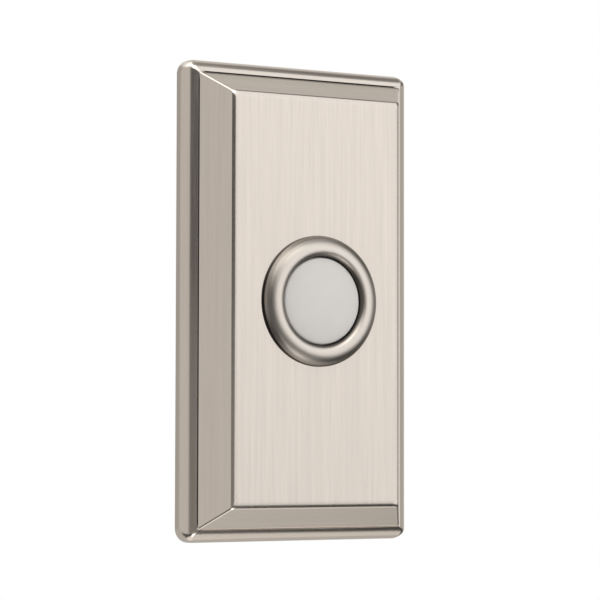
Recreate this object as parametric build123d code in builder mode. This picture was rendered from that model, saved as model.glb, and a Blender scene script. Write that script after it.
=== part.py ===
from build123d import *
import math
import os

# Doorbell push button: a bevelled metal plate with a lit, sprung button in a round bezel.
# Lengths are in millimetres. The origin is the middle of the wall plane behind the plate, +Z is up and
# the front faces -Y. Every height below is measured off the wall, towards the front.

# Plate
plate_width = 38.1
plate_height = 69.85
plate_depth = 8.0
side_wall = 0.9
bead_radius = 2.5
corner_margin = 0.1
crease_inset = 2.0
bevel_run = 3.08
bevel_root = 1.0
foot_ridge_radius = 0.4
ridge_margin = 0.04
face_edge_radius = 0.95
rim_width = 2.0
front_wall = 2.0
cavity_corner_radius = 1.5

# Lugs inside the plate that the bracket's tabs snap behind
lug_width = 10.0
lug_back = 1.4
lug_front = 2.5
lug_reach = 1.05
lug_lead = 0.5
lug_root = 0.5

# Bezel ring and its barrel
bezel_diameter = 19.05
bezel_section_radius = 1.9
bezel_overhang = 1.725
bezel_wall = 0.05
bezel_lip = 0.3
lip_overhang = 0.4
barrel_wall = 0.95
barrel_length = 11.4
thread_length = 6.4
tail_step = 0.2
tail_wall = 0.5
crimp_thickness = 0.4
crimp_overhang = 0.8
crimp_radius = 0.3
hole_clearance = 0.2
thread_clearance = 0.05

# Lock washer and nut behind the plate
washer_width = 2.45
washer_thickness = 0.6
tooth_count = 10
tooth_length = 0.9
tooth_gap = 1.6
nut_wall = 1.7
nut_thickness = 2.2
nut_chamfer = 0.5

# Button cap
travel = 1.5
seat_gap = 0.05
button_clearance = 0.15
button_proud = 1.04
button_dome = 0.9
button_edge_radius = 0.35
button_wall = 1.1
button_roof = 1.3
button_flange_clearance = 0.2
button_flange_thickness = 1.0

# Plunger and contact bridge under the cap
plunger_fit = 0.05
plunger_clearance = 0.85
plunger_flange_thickness = 1.4
plunger_tube_length = 1.6
plunger_tube_wall = 1.0
nose_wall = 0.7
nose_length = 0.9
bridge_clearance = 0.65
bridge_thickness = 0.4

# Insulating base in the barrel's tail
base_thickness = 2.4
base_fit = 0.05
boss_height = 0.8
pad_diameter = 3.0
pad_height = 0.6

# Bent brass contact strips
strip_thickness = 0.4
strip_width = 3.2
strip_bend = 0.3
strip_edge = 0.3
strip_clearance = 0.15
strip_tip_length = 2.1
contact_gap = 0.1

# Wire terminals
terminal_margin = 2.4
screw_diameter = 2.0
screw_head_diameter = 3.6
screw_head_height = 1.3
screw_head_round = 0.4
screw_fit = 0.05
slot_width = 0.5
slot_depth = 0.6
wire_washer_diameter = 4.0
wire_washer_thickness = 0.5

# Lamp
lamp_height = 5.3
lamp_clearance = 0.4
lamp_flange_width = 0.4
lamp_flange_thickness = 1.0
lead_diameter = 0.5
lead_clearance = 0.02
lead_bend = 0.6
lead_past_screw = 0.9

# Return spring
spring_wire = 0.45
spring_turns = 5.5
spring_clearance = 0.15
spring_end_gap = 0.02

# Mounting bracket
sheet = 1.0
sheet_bend = 0.4
bracket_width = 22.0
bracket_corner = 4.0
opening_clearance = 1.1
fixing_spacing = 44.0
fixing_hole = 4.2
strap_end_margin = 3.0
tab_width = 8.0
tab_overlap = 5.0
tab_height = 4.2
tab_clearance = 0.25
barb_width = 5.0
barb_height = 0.7
barb_gap = 0.1
barb_root = 0.2

# Plate sizes that follow from the ones above
corner_radius = bead_radius + corner_margin
bead_run = bead_radius - crease_inset
crease_height = side_wall + math.sqrt(bead_radius**2 - bead_run**2)
bevel_rise = plate_depth - crease_height
bevel_slope = bevel_run / bevel_rise
root_height = crease_height - bevel_root
root_inset = crease_inset - bevel_root * bevel_slope
face_inset = crease_inset + bevel_run
face_edge_setback = face_edge_radius * math.tan(math.atan2(bevel_rise, bevel_run) / 2)
face_ridge_radius = face_edge_setback + ridge_margin
ceiling_height = plate_depth - front_wall
ceiling_inset = rim_width + ceiling_height * bevel_slope

# Radii of the button unit, from the bezel inwards
bezel_radius = bezel_diameter / 2
barrel_radius = bezel_radius - bezel_overhang
tail_radius = barrel_radius - tail_step
barrel_bore = 2 * (barrel_radius - barrel_wall)
tail_bore = 2 * (tail_radius - tail_wall)
crimp_bore = tail_bore - 2 * crimp_overhang
bezel_bore = barrel_bore - 2 * lip_overhang
crest_radius = bezel_radius - bezel_section_radius
inner_section_radius = crest_radius - bezel_bore / 2
washer_diameter = 2 * (barrel_radius + washer_width)
nut_across_flats = 2 * (barrel_radius + nut_wall)
bracket_opening = 2 * (barrel_radius + opening_clearance)
button_diameter = bezel_bore - 2 * button_clearance
button_flange_diameter = barrel_bore - 2 * button_flange_clearance
button_hollow_radius = button_diameter / 2 - button_wall
plunger_flange_diameter = barrel_bore - 2 * plunger_clearance
plunger_tube_radius = button_hollow_radius - plunger_fit
plunger_tube_bore = plunger_tube_radius - plunger_tube_wall
bridge_diameter = barrel_bore - 2 * bridge_clearance
terminal_x = tail_bore / 2 - terminal_margin
terminal_spacing = 2 * terminal_x
strip_foot = terminal_x - screw_diameter / 2 - screw_fit - strip_edge
spring_outer_radius = strip_foot - strip_clearance
spring_radius = spring_outer_radius - spring_wire / 2
boss_radius = spring_outer_radius - spring_wire - spring_clearance
nose_diameter = 2 * boss_radius
plunger_bore = nose_diameter - 2 * nose_wall
lamp_diameter = plunger_bore - 2 * lamp_clearance
lamp_flange_diameter = lamp_diameter + 2 * lamp_flange_width
lead_spacing = screw_diameter + lead_diameter + 2 * lead_clearance

# Heights of the button unit, from the front backwards
crest_height = plate_depth + bezel_wall + bezel_section_radius
lip_height = plate_depth - bezel_lip
thread_end = plate_depth - thread_length
barrel_end = plate_depth - barrel_length
base_back = barrel_end + crimp_thickness
base_front = base_back + base_thickness
washer_back = ceiling_height - washer_thickness
nut_back = washer_back - nut_thickness
button_edge = plate_depth + button_proud
button_top = button_edge + button_dome
button_flange_top = lip_height - seat_gap
button_back = button_flange_top - button_flange_thickness
button_hollow_top = button_top - button_roof
plunger_top = button_back - seat_gap
plunger_back = plunger_top - plunger_flange_thickness
nose_end = plunger_back - nose_length
bridge_front = plunger_back - seat_gap
bridge_back = bridge_front - bridge_thickness
boss_top = base_front + boss_height
pad_end = base_back - pad_height
lead_height = pad_end - lead_diameter / 2
wire_washer_front = pad_end - lead_diameter
screw_seat = wire_washer_front - wire_washer_thickness
strip_top = base_front + strip_thickness
spring_back = base_front + spring_end_gap + spring_wire / 2
spring_front = bridge_back - spring_end_gap - spring_wire / 2

# Profiles of turned pieces are drawn as radius and height, and cuts across the plate as height and Z
turning_plane = Plane((0, 0, 0), x_dir=(1, 0, 0), z_dir=(0, 0, -1))
side_plane = Plane((0, 0, 0), x_dir=(0, -1, 0), z_dir=(-1, 0, 0))


def wall_plane(height):
    """The plane parallel to the wall at a height, with X to the right and Z up."""
    return Plane.XZ.offset(height)


def cavity_half_height(height):
    """Half the plate's hollow along Z at a height: its walls lean as the bevels do."""
    return plate_height / 2 - rim_width - height * bevel_slope


os.makedirs("parts", exist_ok=True)

# Bevelled upper part of the plate, with its mitred ridges and rounded face edge
with BuildPart() as bevel_block:
    with BuildSketch(wall_plane(root_height)):
        RectangleRounded(plate_width - 2 * root_inset, plate_height - 2 * root_inset, foot_ridge_radius)
    with BuildSketch(wall_plane(plate_depth)):
        RectangleRounded(plate_width - 2 * face_inset, plate_height - 2 * face_inset, face_ridge_radius)
    loft(ruled=True)
    fillet(bevel_block.faces().sort_by(Axis.Y)[0].edges(), face_edge_radius)

# Cover plate: side wall and bead, bevels above them, hollow behind, with two snap lugs
with BuildPart() as cover_plate:
    with BuildSketch(wall_plane(0)):
        RectangleRounded(plate_width, plate_height, corner_radius)
    extrude(amount=side_wall + bead_radius)
    fillet(cover_plate.faces().sort_by(Axis.Y)[0].edges(), bead_radius)
    add(bevel_block.part)
    with BuildSketch(wall_plane(0)):
        RectangleRounded(plate_width - 2 * rim_width, plate_height - 2 * rim_width, cavity_corner_radius)
    with BuildSketch(wall_plane(ceiling_height)):
        RectangleRounded(plate_width - 2 * ceiling_inset, plate_height - 2 * ceiling_inset, cavity_corner_radius)
    loft(ruled=True, mode=Mode.SUBTRACT)
    lug_tip = cavity_half_height(lug_front) - lug_reach
    for side in (-1, 1):
        with BuildSketch(side_plane):
            with BuildLine():
                Polyline(
                    (lug_back, side * (lug_tip + lug_lead)),
                    (lug_front, side * lug_tip),
                    (lug_front, side * (cavity_half_height(lug_front) + lug_root)),
                    (lug_back, side * (cavity_half_height(lug_back) + lug_root)),
                    close=True,
                )
            make_face()
        extrude(amount=lug_width / 2, both=True)
    with BuildSketch(wall_plane(ceiling_height)):
        Circle(barrel_radius + hole_clearance)
    extrude(amount=front_wall, mode=Mode.SUBTRACT)
cover_plate.part.label = "cover_plate"
export_step(cover_plate.part, "parts/cover_plate.step")

# Bezel barrel: convex ring in front, threaded barrel, and a tail rolled in over the insulating base
with BuildPart() as bezel_barrel:
    with BuildSketch(turning_plane):
        with BuildLine():
            Polyline(
                (barrel_radius, thread_end),
                (barrel_radius, plate_depth),
                (bezel_radius, plate_depth),
                (bezel_radius, plate_depth + bezel_wall),
            )
            CenterArc((crest_radius, plate_depth + bezel_wall), bezel_section_radius, 0, 90)
            CenterArc((crest_radius, crest_height - inner_section_radius), inner_section_radius, 90, 90)
            Polyline(
                (bezel_bore / 2, crest_height - inner_section_radius),
                (bezel_bore / 2, lip_height),
                (barrel_bore / 2, lip_height),
                (barrel_bore / 2, base_front),
                (tail_bore / 2, base_front),
                (tail_bore / 2, base_back),
                (crimp_bore / 2, base_back),
                (crimp_bore / 2, barrel_end),
                (tail_radius, barrel_end),
                (tail_radius, thread_end),
                (barrel_radius, thread_end),
            )
        make_face()
    revolve(axis=Axis.Y)
    fillet(bezel_barrel.faces().sort_by(Axis.Y)[-1].edges().sort_by(SortBy.LENGTH)[-1], crimp_radius)
bezel_barrel.part.label = "bezel_barrel"
export_step(bezel_barrel.part, "parts/bezel_barrel.step")

# Lock washer with teeth round its bore
with BuildPart() as lock_washer:
    with BuildSketch(wall_plane(washer_back)):
        Circle(washer_diameter / 2)
        Circle(barrel_radius + thread_clearance, mode=Mode.SUBTRACT)
        with PolarLocations(barrel_radius + thread_clearance, tooth_count):
            Rectangle(2 * tooth_length, tooth_gap, mode=Mode.SUBTRACT)
    extrude(amount=washer_thickness)
lock_washer.part.label = "lock_washer"
export_step(lock_washer.part, "parts/lock_washer.step")

# Hexagon nut with both rims chamfered round its corners
nut_corner_radius = nut_across_flats / math.sqrt(3)
with BuildPart() as ring_nut:
    with BuildSketch(wall_plane(nut_back)):
        RegularPolygon(nut_corner_radius, 6)
        Circle(barrel_radius + thread_clearance, mode=Mode.SUBTRACT)
    extrude(amount=nut_thickness)
    with BuildSketch(turning_plane):
        with BuildLine():
            Polyline(
                (0, nut_back),
                (nut_corner_radius - nut_chamfer, nut_back),
                (nut_corner_radius, nut_back + nut_chamfer),
                (nut_corner_radius, washer_back - nut_chamfer),
                (nut_corner_radius - nut_chamfer, washer_back),
                (0, washer_back),
                close=True,
            )
        make_face()
    revolve(axis=Axis.Y, mode=Mode.INTERSECT)
ring_nut.part.label = "ring_nut"
export_step(ring_nut.part, "parts/ring_nut.step")

# Button cap: a shallow dome over a hollow skirt, with a flange that the bezel's lip keeps in
with BuildPart() as push_button:
    with BuildSketch(turning_plane):
        with BuildLine():
            TangentArc((0, button_top), (button_diameter / 2, button_edge), tangent=(1, 0))
            Polyline(
                (button_diameter / 2, button_edge),
                (button_diameter / 2, button_flange_top),
                (button_flange_diameter / 2, button_flange_top),
                (button_flange_diameter / 2, button_back),
                (button_hollow_radius, button_back),
                (button_hollow_radius, button_hollow_top),
                (0, button_hollow_top),
                (0, button_top),
            )
        make_face()
    revolve(axis=Axis.Y)
    dome = push_button.faces().sort_by(Axis.Y)[0]
    fillet(dome.edges().sort_by(SortBy.LENGTH)[-1], button_edge_radius)
push_button.part.label = "push_button"
export_step(push_button.part, "parts/push_button.step")

# Plunger: a tube inside the cap's skirt, a flange under it and a nose that carries the bridge
with BuildPart() as plunger:
    with BuildSketch(turning_plane):
        with BuildLine():
            Polyline(
                (plunger_bore / 2, nose_end),
                (nose_diameter / 2, nose_end),
                (nose_diameter / 2, plunger_back),
                (plunger_flange_diameter / 2, plunger_back),
                (plunger_flange_diameter / 2, plunger_top),
                (plunger_tube_radius, plunger_top),
                (plunger_tube_radius, plunger_top + plunger_tube_length),
                (plunger_tube_bore, plunger_top + plunger_tube_length),
                (plunger_bore / 2, plunger_back),
                close=True,
            )
        make_face()
    revolve(axis=Axis.Y)
plunger.part.label = "plunger"
export_step(plunger.part, "parts/plunger.step")

# Contact bridge: a flat brass ring on the plunger's nose
with BuildPart() as contact_bridge:
    with BuildSketch(wall_plane(bridge_back)):
        Circle(bridge_diameter / 2)
        Circle(nose_diameter / 2 + plunger_fit, mode=Mode.SUBTRACT)
    extrude(amount=bridge_thickness)
contact_bridge.part.label = "contact_bridge"
export_step(contact_bridge.part, "parts/contact_bridge.step")

# Insulating base: a disc with the lamp's boss in front, and a pad behind for each terminal
with BuildPart() as terminal_base:
    with BuildSketch(wall_plane(base_back)):
        Circle(tail_bore / 2 - base_fit)
    extrude(amount=base_thickness)
    with BuildSketch(wall_plane(base_front)):
        Circle(boss_radius)
    extrude(amount=boss_height)
    with BuildSketch(wall_plane(pad_end)):
        with GridLocations(terminal_spacing, 0, 2, 1):
            Circle(pad_diameter / 2)
    extrude(amount=pad_height)
    with BuildSketch(wall_plane(pad_end)):
        with GridLocations(terminal_spacing, 0, 2, 1):
            Circle(screw_diameter / 2 + screw_fit)
        with GridLocations(0, lead_spacing, 1, 2):
            Circle(lead_diameter / 2 + screw_fit)
    extrude(amount=boss_top - pad_end, mode=Mode.SUBTRACT)
terminal_base.part.label = "terminal_base"
export_step(terminal_base.part, "parts/terminal_base.step")

# Contact strips: a foot on the base, a riser, and a tip that waits under the bridge
strip_reach = math.sqrt((barrel_bore / 2 - strip_clearance) ** 2 - (strip_width / 2) ** 2)
strip_riser = strip_reach - strip_thickness / 2
strip_tip_height = bridge_back - travel - contact_gap - strip_thickness / 2
contact_strips = []
for side in (-1, 1):
    with BuildPart() as contact_strip:
        with BuildSketch(turning_plane):
            with BuildLine():
                FilletPolyline(
                    (side * strip_foot, base_front + strip_thickness / 2),
                    (side * strip_riser, base_front + strip_thickness / 2),
                    (side * strip_riser, strip_tip_height),
                    (side * (strip_riser - strip_tip_length), strip_tip_height),
                    radius=strip_thickness / 2 + strip_bend,
                )
            trace(line_width=strip_thickness)
        extrude(amount=strip_width / 2, both=True)
        with BuildSketch(wall_plane(base_front)):
            with Locations((side * terminal_x, 0)):
                Circle(screw_diameter / 2 + screw_fit)
        extrude(amount=strip_thickness, mode=Mode.SUBTRACT)
    contact_strips.append(contact_strip.part)
for name, strip in zip(("left_contact", "right_contact"), contact_strips):
    strip.label = name
    export_step(strip, f"parts/{name}.step")

# Terminal screws, slotted, driven in from behind
with BuildPart() as terminal_screws:
    with BuildSketch(wall_plane(screw_seat)):
        with GridLocations(terminal_spacing, 0, 2, 1):
            Circle(screw_head_diameter / 2)
    extrude(amount=-screw_head_height)
    head_backs = terminal_screws.faces().filter_by(Axis.Y).group_by(Axis.Y)[-1]
    fillet(head_backs.edges(), screw_head_round)
    with BuildSketch(wall_plane(screw_seat)):
        with GridLocations(terminal_spacing, 0, 2, 1):
            Circle(screw_diameter / 2)
    extrude(amount=strip_top - screw_seat)
    with BuildSketch(wall_plane(screw_seat - screw_head_height)):
        with GridLocations(terminal_spacing, 0, 2, 1):
            Rectangle(slot_width, screw_head_diameter)
    extrude(amount=slot_depth, mode=Mode.SUBTRACT)
terminal_screws.part.label = "terminal_screws"
export_step(terminal_screws.part, "parts/terminal_screws.step")

# Wire washers under the screw heads, a wire's thickness off the pads
with BuildPart() as terminal_washers:
    with BuildSketch(wall_plane(screw_seat)):
        with GridLocations(terminal_spacing, 0, 2, 1):
            Circle(wire_washer_diameter / 2)
            Circle(screw_diameter / 2 + screw_fit, mode=Mode.SUBTRACT)
    extrude(amount=wire_washer_thickness)
terminal_washers.part.label = "terminal_washers"
export_step(terminal_washers.part, "parts/terminal_washers.step")

# Lamp: a flanged cylinder with a domed end, on the base's boss
with BuildPart() as led_lamp:
    with BuildSketch(wall_plane(boss_top)):
        Circle(lamp_flange_diameter / 2)
    extrude(amount=lamp_flange_thickness)
    with BuildSketch(wall_plane(boss_top)):
        Circle(lamp_diameter / 2)
    extrude(amount=lamp_height - lamp_diameter / 2)
    with Locations((0, -(boss_top + lamp_height - lamp_diameter / 2), 0)):
        Sphere(lamp_diameter / 2)
led_lamp.part.label = "led_lamp"
export_step(led_lamp.part, "parts/led_lamp.step")

# Lamp leads: straight through the base, then sideways over the pads to lie under the wire washers
with BuildPart() as led_leads:
    for side in (-1, 1):
        lead_z = -side * lead_spacing / 2
        with BuildLine() as lead_path:
            FilletPolyline(
                (0, -boss_top, lead_z),
                (0, -lead_height, lead_z),
                (side * (terminal_x + lead_past_screw), -lead_height, lead_z),
                radius=lead_bend,
            )
        with BuildSketch(Plane((0, -boss_top, lead_z), x_dir=(1, 0, 0), z_dir=(0, 1, 0))):
            Circle(lead_diameter / 2)
        sweep(path=lead_path.line)
led_leads.part.label = "led_leads"
export_step(led_leads.part, "parts/led_leads.step")

# Return spring between the base and the bridge, round the boss and the nose
spring_length = spring_front - spring_back
with BuildPart() as return_spring:
    with BuildLine():
        spring_path = Helix(
            pitch=spring_length / spring_turns,
            height=spring_length,
            radius=spring_radius,
            center=(0, -spring_back, 0),
            direction=(0, -1, 0),
        )
    with BuildSketch(Plane(origin=spring_path @ 0, z_dir=spring_path % 0)):
        Circle(spring_wire / 2)
    sweep(path=spring_path, is_frenet=True)
return_spring.part.label = "return_spring"
export_step(return_spring.part, "parts/return_spring.step")

# Mounting bracket: a flat strap with two screw holes and a barrel opening, and a barbed tab at each end
tab_face = lug_tip - tab_clearance
tab_line = tab_face - sheet / 2
strap_end = tab_line - strap_end_margin
barb_back = lug_front + barb_gap
with BuildPart() as mounting_bracket:
    with BuildSketch(wall_plane(0)):
        RectangleRounded(bracket_width, 2 * strap_end, bracket_corner)
        Circle(bracket_opening / 2, mode=Mode.SUBTRACT)
        with GridLocations(0, fixing_spacing, 1, 2):
            Circle(fixing_hole / 2, mode=Mode.SUBTRACT)
    extrude(amount=sheet)
    for side in (-1, 1):
        with BuildSketch(side_plane):
            with BuildLine():
                FilletPolyline(
                    (sheet / 2, side * (strap_end - tab_overlap / 2)),
                    (sheet / 2, side * tab_line),
                    (tab_height, side * tab_line),
                    radius=sheet / 2 + sheet_bend,
                )
            trace(line_width=sheet)
        extrude(amount=tab_width / 2, both=True)
        with BuildSketch(side_plane):
            with BuildLine():
                Polyline(
                    (barb_back, side * (tab_face - barb_root)),
                    (barb_back, side * (tab_face + barb_height)),
                    (tab_height, side * tab_face),
                    (tab_height, side * (tab_face - barb_root)),
                    close=True,
                )
            make_face()
        extrude(amount=barb_width / 2, both=True)
mounting_bracket.part.label = "mounting_bracket"
export_step(mounting_bracket.part, "parts/mounting_bracket.step")
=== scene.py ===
"""Looks of the doorbell push button: plate, bezel, button, wall fittings, soft light and camera."""
import math

import bmesh
import bpy
from mathutils import Matrix, Vector


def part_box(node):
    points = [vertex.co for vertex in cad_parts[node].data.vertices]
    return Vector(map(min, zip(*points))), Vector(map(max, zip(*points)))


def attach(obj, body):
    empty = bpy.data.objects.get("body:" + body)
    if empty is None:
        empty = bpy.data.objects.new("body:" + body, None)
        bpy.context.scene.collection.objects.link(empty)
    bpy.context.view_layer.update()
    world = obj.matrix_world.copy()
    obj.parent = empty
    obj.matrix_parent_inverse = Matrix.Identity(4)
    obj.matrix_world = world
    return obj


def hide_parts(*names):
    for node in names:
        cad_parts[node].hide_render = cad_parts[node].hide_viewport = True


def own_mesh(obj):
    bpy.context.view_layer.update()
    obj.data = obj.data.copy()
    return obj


bl_info = {
    "name": "Doorbell Push Button",
    "version": (1, 0, 0),
    "blender": (4, 5, 0),
    "location": "View3D > Sidebar > Doorbell",
    "description": "Builds the looks of a bevelled doorbell plate with a round push button",
    "category": "Object",
}

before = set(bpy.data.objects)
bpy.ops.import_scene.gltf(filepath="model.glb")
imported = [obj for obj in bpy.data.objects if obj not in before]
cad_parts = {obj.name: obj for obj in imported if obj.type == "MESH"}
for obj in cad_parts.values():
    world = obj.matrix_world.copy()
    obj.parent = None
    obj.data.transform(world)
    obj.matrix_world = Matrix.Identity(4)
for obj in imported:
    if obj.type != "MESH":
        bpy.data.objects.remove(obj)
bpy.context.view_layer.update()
plate_low, plate_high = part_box("cover_plate")
bezel_low, bezel_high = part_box("bezel_barrel")
button_low, button_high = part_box("push_button")
spring_low, spring_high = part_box("return_spring")
screws_low, screws_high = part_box("terminal_screws")

MM = 0.001
MICRON = 0.000001
WELD = 0.5 * MICRON


def length(label, description, default):
    """A size that a user may change, in metres."""
    return bpy.props.FloatProperty(
        name=label, description=description, default=default, min=0.0, precision=6,
        subtype="DISTANCE", unit="LENGTH")


def colour(label, description, default):
    """A linear colour that a user may change."""
    return bpy.props.FloatVectorProperty(
        name=label, description=description, default=default, min=0.0, max=1.0, size=3,
        subtype="COLOR")


def degrees(label, description, default):
    """An angle that a user may change, given in degrees."""
    return bpy.props.FloatProperty(
        name=label, description=description, default=math.radians(default), subtype="ANGLE")


def number(label, description, default, least=0.0):
    """A plain number that a user may change."""
    return bpy.props.FloatProperty(name=label, description=description, default=default, min=least)


class PlateSizes(bpy.types.PropertyGroup):
    """Sizes of the bevelled cover plate."""

    width: length("Width", "Plate width along X", plate_high.x - plate_low.x)
    height: length("Height", "Plate height along Z", plate_high.z - plate_low.z)
    depth: length("Depth", "From the wall to the flat face", -plate_low.y)
    side_wall: length("Side wall", "Upright part of the edge, next to the wall", 0.9 * MM)
    bead_radius: length("Bead radius", "Radius of the rounded bead", 2.5 * MM)
    corner_radius: length("Corner radius", "Outer corner seen from the front", 2.1 * MM)
    crease_inset: length("Crease inset", "From the outer edge to the crease", 2.0 * MM)
    mitre_ease: number("Mitre ease", "How soon the outer corner turns into the mitre", 2.6, 1.0)
    # The dark line in the crease is a groove coloured near black as painted shade
    crease_width: length("Crease width", "Width of the dark line in the crease", 0.17 * MM)
    crease_depth: length("Crease depth", "Depth of the dark line in the crease", 0.14 * MM)
    crease_fade: length("Crease fade", "From a mitre to where the dark line is full", 0.8 * MM)
    bevel_run: length("Bevel run", "Width of a bevel seen from the front", 3.08 * MM)
    foot_ridge: length("Foot ridge radius", "Mitre ridge at the crease", 0.3 * MM)
    face_ridge: length("Face ridge radius", "Mitre ridge below the face's rounding", 0.34 * MM)
    face_corner: length("Face corner radius", "Corner of the flat face", 0.7 * MM)
    face_edge: length("Face edge", "Length of the rounding between bevel and face", 1.65 * MM)
    edge_ease: number("Edge ease", "How softly the rounding runs out into the face", 3.0, 1.0)
    rim_width: length("Rim width", "Flat rim that meets the wall", 2.0 * MM)
    front_wall: length("Front wall", "Thickness behind the face", 2.0 * MM)
    cavity_corner: length("Cavity corner", "Corner radius of the hollow", 1.5 * MM)
    hole_radius: length("Hole radius", "Hole for the bezel's barrel", 8.0 * MM)


class BezelSizes(bpy.types.PropertyGroup):
    """Sizes of the turned bezel and its barrel."""

    radius: length("Radius", "Outer radius of the ring", bezel_high.x)
    crest: length("Crest radius", "Radius of the ring's highest circle", 7.5 * MM)
    top: length("Top", "Height of the crest off the wall", -bezel_low.y)
    wall: length("Wall", "Where the outer rounding starts, above the face", 0.55 * MM)
    foot: length("Foot radius", "Radius of the ring where it meets the face", 9.36 * MM)
    foot_height: length("Foot height", "Height at which the ring has its full radius", 0.2 * MM)
    bore: length("Bore radius", "Inner radius in front", 6.47 * MM)
    inner_rise: length("Inner rise", "Height of the rounding from the bore to the crest", 0.74 * MM)
    lip: length("Lip", "Lip below the plate's face", 0.3 * MM)
    barrel: length("Barrel radius", "Crest radius of the thread", 7.8 * MM)
    barrel_bore: length("Barrel bore radius", "Inner radius of the barrel", 6.85 * MM)
    thread_depth: length("Thread depth", "Depth of the thread's groove", 0.3 * MM)
    thread_pitch: length("Thread pitch", "Rise of one turn", 0.8 * MM)
    thread_end: length("Thread end", "Height where the thread stops", 1.6 * MM)
    thread_length: length("Thread length", "Length of the wound thread", 3.6 * MM)
    tail: length("Tail radius", "Outer radius of the plain tail", 7.6 * MM)
    tail_bore: length("Tail bore radius", "Inner radius of the tail", 7.1 * MM)
    base_front: length("Base front", "How far the base's front lies behind the wall plane", 0.6 * MM)
    crimp: length("Crimp bore radius", "Radius that the tail is rolled in to", 6.3 * MM)
    crimp_depth: length("Crimp depth", "Thickness of the rolled edge", 0.4 * MM)
    crimp_round: length("Crimp rounding", "Outer rounding of the rolled edge", 0.3 * MM)


class ButtonSizes(bpy.types.PropertyGroup):
    """Sizes of the push button's cap."""

    radius: length("Radius", "Radius of the cap", 6.3 * MM)
    top: length("Top", "Height of the dome's top off the wall", -button_low.y)
    edge: length("Edge", "Height of the dome's edge off the wall", 9.36 * MM)
    fullness: number("Fullness", "How flat the dome's middle is and how steep its edge", 2.6, 2.0)
    edge_round: length("Edge rounding", "Rounding round the dome", 0.35 * MM)
    flange: length("Flange radius", "Flange behind the bezel's lip", 6.65 * MM)
    flange_top: length("Flange top", "Height of the flange's front", 7.65 * MM)
    back: length("Back", "Height of the cap's back", -button_high.y)
    hollow: length("Hollow radius", "Radius of the hollow under the dome", 5.2 * MM)
    hollow_top: length("Hollow top", "Height of the hollow's roof", 8.64 * MM)


class SpringSizes(bpy.types.PropertyGroup):
    """Sizes of the return spring."""

    radius: length("Coil radius", "To the middle of the wire", 2.975 * MM)
    wire: length("Wire", "Wire diameter", 0.45 * MM)
    turns: number("Turns", "Turns of wire", 5.5, 1.0)
    travel: length("Travel", "How far the button is pressed", 1.5 * MM)


class TerminalSizes(bpy.types.PropertyGroup):
    """Sizes of the slotted terminal screws."""

    spacing: length("Spacing", "Between the two screws", 9.4 * MM)
    head: length("Head radius", "Radius of a screw's head", 1.8 * MM)
    head_height: length("Head height", "Height of a screw's head", 1.3 * MM)
    head_round: length("Head rounding", "Rounding of the head's edge", 0.4 * MM)
    shank: length("Shank radius", "Radius of the shank", 1.0 * MM)
    slot_width: length("Slot width", "Width of the driver's slot", 0.5 * MM)
    slot_depth: length("Slot depth", "Depth of the driver's slot", 0.6 * MM)


class Finishes(bpy.types.PropertyGroup):
    """Colours of the finishes, as linear values."""

    nickel: colour("Nickel", "Satin nickel of the plate", (0.77, 0.7, 0.635))
    bezel: colour("Bezel nickel", "Turned nickel of the bezel", (0.74, 0.68, 0.62))
    button: colour("Button", "Frosted plastic of the button", (0.81, 0.78, 0.745))
    # The shadow line colour is painted shade in the crease groove
    shadow: colour("Shadow line", "Dark residue in the crease", (0.016, 0.014, 0.012))
    moulding: colour("Moulding", "White moulded plastic", (0.78, 0.77, 0.72))
    brass: colour("Brass", "Plain brass of the contacts", (0.78, 0.58, 0.26))
    zinc: colour("Zinc", "Zinc-plated steel", (0.62, 0.63, 0.64))
    board: colour("Board", "Pressed insulating board", (0.06, 0.045, 0.035))
    resin: colour("Resin", "Clear resin of the lamp", (0.95, 0.93, 0.85))
    tin: colour("Tin", "Tinned copper wire", (0.72, 0.72, 0.73))
    steel: colour("Steel", "Drawn spring wire", (0.5, 0.51, 0.53))


class StageSettings(bpy.types.PropertyGroup):
    """Camera and light."""

    azimuth: degrees("Azimuth", "Camera's turn round the object, to the right", -30.436)
    elevation: degrees("Elevation", "Camera's height angle", -2.956)
    roll: degrees("Roll", "Camera's roll", 0.116)
    distance: length("Distance", "From the aim point to the camera", 379.767 * MM)
    aim: bpy.props.FloatVectorProperty(
        name="Aim", description="Point in the middle of the picture",
        default=(1.732 * MM, 0.0, 0.596 * MM), subtype="XYZ", unit="LENGTH")
    focal: number("Focal length", "In pixels of a picture 600 pixels wide", 2558.8)
    backdrop: number("Backdrop", "White seen by the camera and in the metal", 1.0)
    fill: number("Fill", "Soft light from all round on matte surfaces", 0.7)
    key: number("Key", "Level of the soft box at the upper right", 1.5)


settings_groups = {
    "doorbell_plate": PlateSizes,
    "doorbell_bezel": BezelSizes,
    "doorbell_button": ButtonSizes,
    "doorbell_spring": SpringSizes,
    "doorbell_terminals": TerminalSizes,
    "doorbell_finishes": Finishes,
    "doorbell_stage": StageSettings,
}


# Node helpers
def set_inputs(node, values):
    """Plain values for some of a node's inputs, by name or number."""
    for key, value in values.items():
        node.inputs[key].default_value = value


def add_node(tree, kind, inputs=None, **properties):
    """A new node with its properties and unlinked inputs set."""
    node = tree.nodes.new(kind)
    for name, value in properties.items():
        setattr(node, name, value)
    set_inputs(node, inputs or {})
    return node


def wire(tree, *links):
    """Links, each given as a node, its output, the next node and its input."""
    for source, output, target, entry in links:
        tree.links.new(source.outputs[output], target.inputs[entry])


def new_material(name, base, roughness, metallic=0.0):
    """A material with its shader's plain values set; gives the material, its tree and its shader."""
    material = bpy.data.materials.new(name)
    material.use_nodes = True
    tree = material.node_tree
    shader = tree.nodes["Principled BSDF"]
    set_inputs(shader, {"Base Color": (*base, 1.0), "Roughness": roughness, "Metallic": metallic})
    return material, tree, shader


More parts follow.
